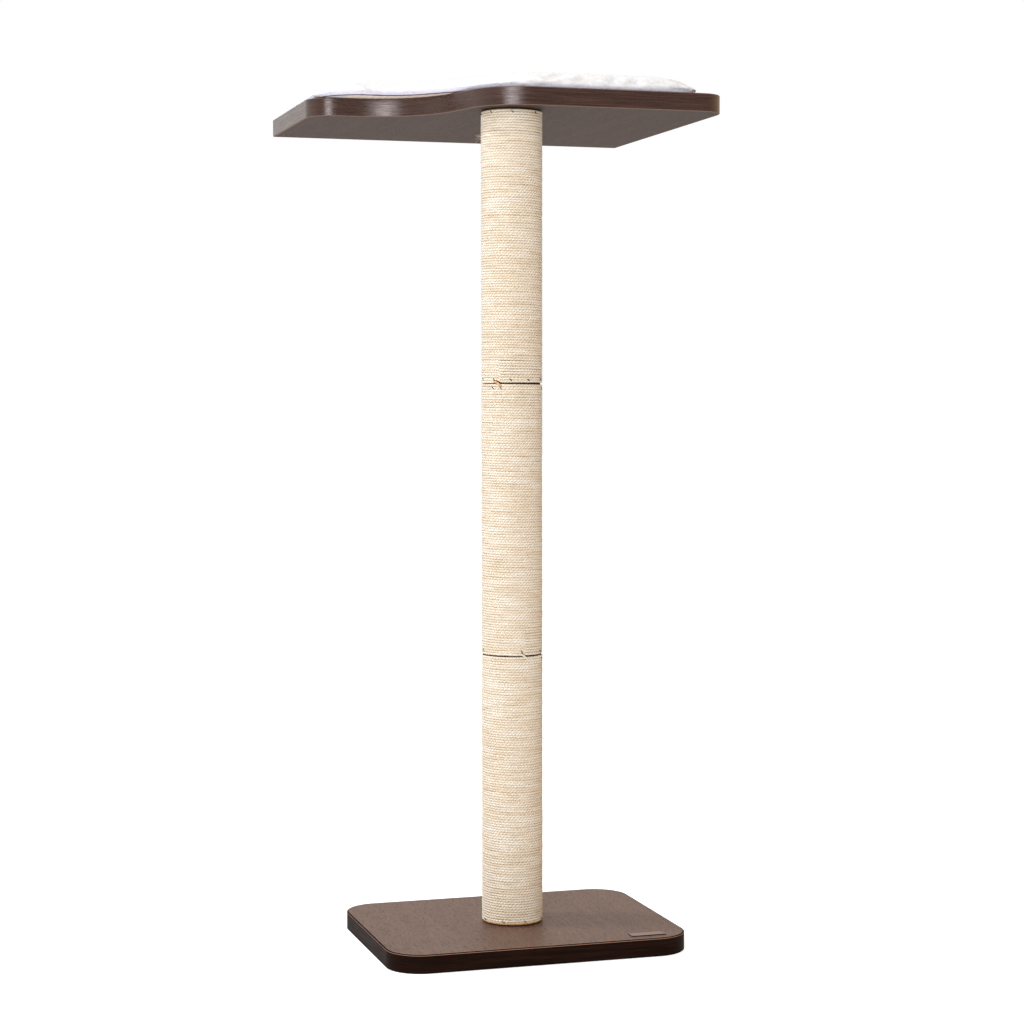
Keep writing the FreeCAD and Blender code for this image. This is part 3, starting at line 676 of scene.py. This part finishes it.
# Short-pile plush: clumps of pile 7 mm across stand up to half a millimetre proud of the cover and
# sink as far between, with painted shade making the hollows greyer. The pile scatters light, so it has a soft
# sheen.
clump_size = 0.007
clump_relief = 0.0011
pile_rise = 0.004
pile = cushion.vertex_groups.new(name="pile")
for vertex in cushion.data.vertices:
    pile.add([vertex.index], min(1, max(0, (vertex.co.z - bottom.z - seam_height) / pile_rise)), "REPLACE")
settle = cushion.modifiers.new("settle", "SMOOTH")
settle.factor = 0.5
settle.iterations = 14
settle.vertex_group = "pile"
bpy.ops.object.modifier_apply(modifier="settle")
tufts = bpy.data.textures.new("tufts", "CLOUDS")
tufts.noise_scale = clump_size
tufts.noise_depth = 1
lift = cushion.modifiers.new("tufts", "DISPLACE")
lift.texture = tufts
lift.texture_coords = "LOCAL"
lift.strength = clump_relief
lift.mid_level = 0.5
lift.vertex_group = "pile"
bpy.ops.object.modifier_apply(modifier="tufts")
bpy.ops.object.shade_smooth()

# Painted shade: the darker tones fall in the hollows of the pile's relief.
plush = mottled("short_pile_plush",
                {"Specular IOR Level": 0.15, "Sheen Weight": 0.35, "Sheen Roughness": 0.6},
                (clump_size,) * 3, 4, [(0.3, "#E2E0DA"), (0.48, "#ECEBE8"), (0.65, "#F3F3F1")],
                (0.85, 1.0), (0.5, 0.001))

# Side strip: smooth white polyester, painted a cool grey lavender as shade on the pad's side. Its thread
# is 0.5 mm, drawn at 1.2 mm to show.
strip = mottled("white_polyester", {"Specular IOR Level": 0.3, "Sheen Weight": 0.2},
                (0.0024, 0.0024, 0.0012), 1, [(0.35, "#D6D3E0"), (0.65, "#E6E4F0")], (0.6, 0.8))

# Underside: cotton canvas in plain weave, matt, painted a pale warm beige as the warm light bounced up
# from the floor. Its threads are 0.8 mm apart, and are drawn as bands of 10 mm so that they show. A wave
# of scale 1 repeats at a tenth of pi.
band_width = 0.01004
canvas, tree, shader = new_material("cotton_painted_warm_bounce", {"Specular IOR Level": 0.2})
place = add_node(tree, "TexCoord").outputs["Object"]
threads = []
for turn_angle in (0, math.pi / 2):
    spread = add_node(tree, "Mapping", {"Rotation": (0, 0, turn_angle)}, {"Vector": place})
    threads.append(add_node(tree, "TexWave", {"Scale": math.pi / 10 / band_width, "Distortion": 1.0},
                            {"Vector": spread.outputs["Vector"]}).outputs["Fac"])
weave = add_node(tree, "Mix", {0: 0.5}, {2: threads[0], 3: threads[1]}, data_type="FLOAT")
tone = add_node(tree, "ValToRGB", {}, {"Fac": weave.outputs[0]}, [(0.2, "#EFDCCD"), (0.8, "#FFF1E6")])
tree.links.new(tone.outputs["Color"], shader.inputs["Base Color"])
dull = add_node(tree, "MapRange", {"To Min": 0.8, "To Max": 0.95}, {"Value": weave.outputs[0]})
tree.links.new(dull.outputs[0], shader.inputs["Roughness"])

# The strip wraps under the pad at the left corner, and the seam above it dips where it is gathered.
strip_wrap = -0.243
seam_dip = 0.0035
dip_place = -0.0124
dip_width = 0.012
front_from = -0.1
for material in (plush, strip, canvas):
    cushion.data.materials.append(material)
for face in cushion.data.polygons:
    height = face.center.z - bottom.z
    below = height < hem_height and face.normal.z < -0.25 and face.center.x > strip_wrap
    gather = seam_dip * math.exp(-((face.center.x - dip_place) / dip_width) ** 2)
    seam = seam_height - (gather if face.center.y < front_from else 0)
    face.material_index = 2 if below else 1 if height < seam else 0
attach(cushion, "cushion")
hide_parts("cushion_cover", "cushion_foam")

# Hem cord: a thin cord of twisted cotton, sewn all round into the seam between the side strip and
# the underside. It is matt and painted dark taupe as the shade in that seam, so it shows as a dark line
# above the shelf.
cord_radius = 0.001
take(cushion)
bpy.ops.object.duplicate()
hem = bpy.context.object
edit(hem, "VERT")
bpy.ops.mesh.select_all(action="SELECT")
bpy.ops.mesh.bisect(plane_co=(0, 0, bottom.z + hem_height), plane_no=(0, 0, 1),
                    clear_inner=True, clear_outer=True)
bpy.ops.object.mode_set(mode="OBJECT")
bpy.ops.object.convert(target="CURVE")
hem = bpy.context.object
hem.data.bevel_depth = cord_radius
hem.data.bevel_resolution = 1
bpy.ops.object.convert(target="MESH")
hem = bpy.context.object
hem.name = "hem_cord"
hem.data.materials.clear()
# Painted shade: the cord's dark taupe stands for the shade line in the seam.
taupe = mottled("cord_painted_shade", {"Specular IOR Level": 0.2}, (0.003,) * 3, 1,
                [(0.35, "#4C3A38"), (0.65, "#665250")], (0.7, 0.9))
hem.data.materials.append(taupe)
bpy.ops.object.shade_smooth()
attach(hem, "cushion")

# Studio: a white floor and a white surround, dimmer in the boards' mirror images towards the front.
# The object keeps its soft shadow. A window lamp stands at the front left, a small one high up
# at the left and a little behind. The light from the right is warmer.
floor_size = 60
floor_gap = 0.0005
seen_glow, mirrored_glow = 0.66, 0.45
bpy.ops.object.select_all(action="DESELECT")
bpy.ops.mesh.primitive_plane_add(size=floor_size, location=(0, 0, -floor_gap))
floor = bpy.context.object
floor.name = "floor"
paper, tree, shader = new_material("white_floor", {"Roughness": 0.9, "Specular IOR Level": 0.1})
shader.inputs["Base Color"].default_value = linear("#F0F0F0")
rays = add_node(tree, "LightPath")
seen = add_node(tree, "Math", {}, {0: rays.outputs["Is Camera Ray"], 1: rays.outputs["Is Transmission Ray"]},
                operation="MAXIMUM")
glow = add_node(tree, "Math", {1: seen_glow}, {0: seen.outputs[0]}, operation="MULTIPLY")
glow = add_node(tree, "Math", {1: mirrored_glow}, {0: rays.outputs["Is Glossy Ray"], 2: glow.outputs[0]},
                operation="MULTIPLY_ADD")
shader.inputs["Emission Color"].default_value = (1, 1, 1, 1)
tree.links.new(glow.outputs[0], shader.inputs["Emission Strength"])
floor.data.materials.append(paper)

world = bpy.data.worlds.new("studio")
bpy.context.scene.world = world
world.use_nodes = True
tree = world.node_tree
sky = tree.nodes["Background"]
rays = add_node(tree, "LightPath")
seen = add_node(tree, "Math", {}, {0: rays.outputs["Is Camera Ray"], 1: rays.outputs["Is Transmission Ray"]},
                operation="MAXIMUM")
way = add_node(tree, "SeparateXYZ", {}, {"Vector": add_node(tree, "TexCoord").outputs["Generated"]})
side = add_node(tree, "MapRange", {"From Min": -0.2, "From Max": 1.0}, {"Value": way.outputs["X"]})
left_tint, right_tint = (1, 0.985, 0.97, 1), (1, 0.76, 0.52, 1)
tint = add_node(tree, "Mix", {6: left_tint, 7: right_tint}, {0: side.outputs[0]}, data_type="RGBA")
tint = add_node(tree, "Mix", {7: (1, 1, 1, 1)}, {0: seen.outputs[0], 6: tint.outputs[2]}, data_type="RGBA")
tree.links.new(tint.outputs[2], sky.inputs["Color"])
dim = add_node(tree, "MapRange", {"To Min": 0.62, "To Max": 0.56}, {"Value": side.outputs[0]})
level = add_node(tree, "Mix", {3: 1.0}, {0: seen.outputs[0], 2: dim.outputs[0]}, data_type="FLOAT")
depth = add_node(tree, "MapRange", {"From Min": -0.7, "From Max": 0.1, "To Min": 0.35, "To Max": 0.9},
                 {"Value": way.outputs["Y"]})
mirrored = add_node(tree, "Mix", {}, {0: rays.outputs["Is Glossy Ray"], 2: level.outputs[0],
                                      3: depth.outputs[0]}, data_type="FLOAT")
tree.links.new(mirrored.outputs[0], sky.inputs["Strength"])

lamp_tint = (0.94, 1.0, 1.11)
aim = Vector((0, 0, 0.9))
for name, place, width, height, power in (
    ("window", (-2.01, -3.62, 1.77), 1.7, 2.0, 79),
    ("side", (-3.76, 1.03, 5.77), 1.0, 0.8, 200),
):
    lamp = bpy.data.lights.new(name, "AREA")
    lamp.shape = "RECTANGLE"
    lamp.size = width
    lamp.size_y = height
    lamp.energy = power
    lamp.color = lamp_tint
    hung = bpy.data.objects.new(name, lamp)
    hung.location = place
    hung.visible_glossy = name == "window"
    hung.rotation_euler = (aim - Vector(place)).to_track_quat("-Z", "Y").to_euler()
    bpy.context.scene.collection.objects.link(hung)

# Camera: at two thirds of the height, from the front and left, with a long lens. Its place was
# fitted to the edges of the boards and the posts.
focal_length, picture_width = 2284.1, 1024
lens = bpy.data.cameras.new("camera")
lens.sensor_width = 36
lens.lens = focal_length / picture_width * lens.sensor_width
camera = bpy.data.objects.new("camera", lens)
camera.location = (-0.9995, -3.3600, 0.8006)
camera.rotation_euler = [math.radians(turn) for turn in (87.232, 0.061, -16.870)]
bpy.context.scene.collection.objects.link(camera)
bpy.context.scene.camera = camera
bpy.context.scene.view_settings.view_transform = "Standard"
